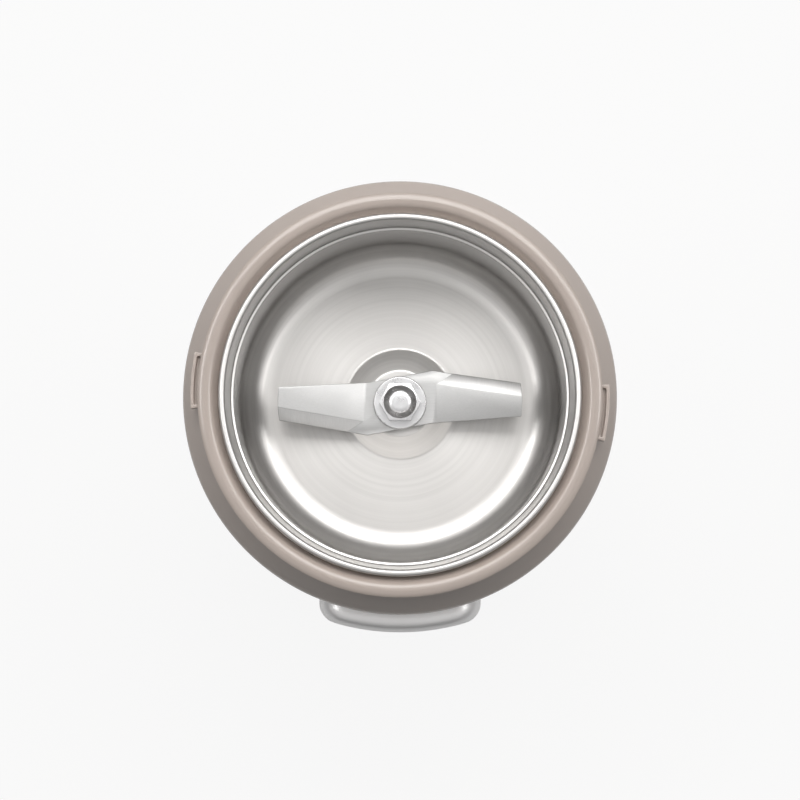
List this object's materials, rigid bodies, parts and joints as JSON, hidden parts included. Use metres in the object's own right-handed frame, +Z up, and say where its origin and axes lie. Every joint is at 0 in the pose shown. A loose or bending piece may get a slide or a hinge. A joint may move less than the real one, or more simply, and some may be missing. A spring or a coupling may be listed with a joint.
{
  "type": "electric spice grinder",
  "caption": "Round electric spice grinder without its lid: tapered moulded body, steel bowl with a spinning two-armed blade, bayonet collar, and a push button on the front.",
  "frame": {"origin": "on the motor's axis, at the surface that the rubber foot ring rests on", "axes": "+Z up along the motor's axis, the front with its push button towards -Y, +X to the right seen from the front"},
  "size_m": [0.104, 0.1083, 0.1411],
  "materials": {
    "body_plastic": "fine satin moulding, warm taupe",
    "button_plastic": "satin moulding, pale grey",
    "bowl_steel": "spun stainless steel, satin",
    "blade_steel": "ground stainless steel",
    "plated_steel": "plated steel",
    "rubber_dark": "matt rubber",
    "rubber_grey": "matt rubber",
    "motor_steel": "stacked sheet, cut edges",
    "zinc_sheet": "zinc-plated pressed sheet",
    "bronze": "sintered bronze",
    "copper": "copper",
    "enamelled_wire": "enamelled copper wire",
    "brass": "stamped brass",
    "black_plastic": "moulded, matt black",
    "brown_plastic": "moulded phenolic, dark brown",
    "carbon": "pressed carbon",
    "spring_steel": "spring wire"
  },
  "bodies": {
    "housing": {"body_shell": "body_plastic", "top_collar": "body_plastic", "bowl": "bowl_steel", "bowl_gasket": "rubber_grey", "shaft_seal": "rubber_dark", "upper_bearing": "bronze", "lower_bearing": "bronze", "stator_core": "motor_steel", "rear_field_coil": "enamelled_wire", "front_field_coil": "enamelled_wire", "motor_upper_bracket": "zinc_sheet", "motor_lower_bracket": "zinc_sheet", "motor_screws": "plated_steel", "motor_nuts": "plated_steel", "motor_bushes": "rubber_dark", "motor_mount_screws": "plated_steel", "rear_brush_holder": "brown_plastic", "front_brush_holder": "brown_plastic", "rear_brush": "carbon", "front_brush": "carbon", "rear_brush_spring": "spring_steel", "front_brush_spring": "spring_steel", "button_springs": "spring_steel", "switch_case": "black_plastic", "switch_terminals": "brass", "switch_cradle": "zinc_sheet", "cradle_screws": "plated_steel", "base_cover": "body_plastic", "base_screws": "plated_steel", "foot_ring": "rubber_dark", "cord_grommet": "rubber_dark"},
    "rotor": {"motor_shaft": "plated_steel", "blade": "blade_steel", "blade_spacer": "plated_steel", "blade_washer": "plated_steel", "blade_nut": "plated_steel", "armature_core": "motor_steel", "armature_windings": "enamelled_wire", "commutator": "copper", "cooling_fan": "black_plastic"},
    "button": {"push_button": "button_plastic"},
    "switch_plunger": {"switch_plunger": "button_plastic"}
  },
  "joints": [
    {"name": "blade_spin", "type": "hinge", "parent": "housing", "child": "rotor", "pos_m": [0, 0, 0.1], "axis": [0, 0, 1], "continuous": true},
    {"name": "button_press", "type": "slide", "parent": "housing", "child": "button", "axis": [0, 1, 0], "range_m": [0, 0.0025], "stiffness_N_per_m": 600, "springref_m": -0.0025, "deforming": ["button_springs"]},
    {"name": "plunger_press", "type": "slide", "parent": "housing", "child": "switch_plunger", "axis": [0, 1, 0], "range_m": [0, 0.0025]}
  ],
  "couplings": [
    {"joint": "plunger_press", "follows": "button_press", "ratio": 1}
  ]
}
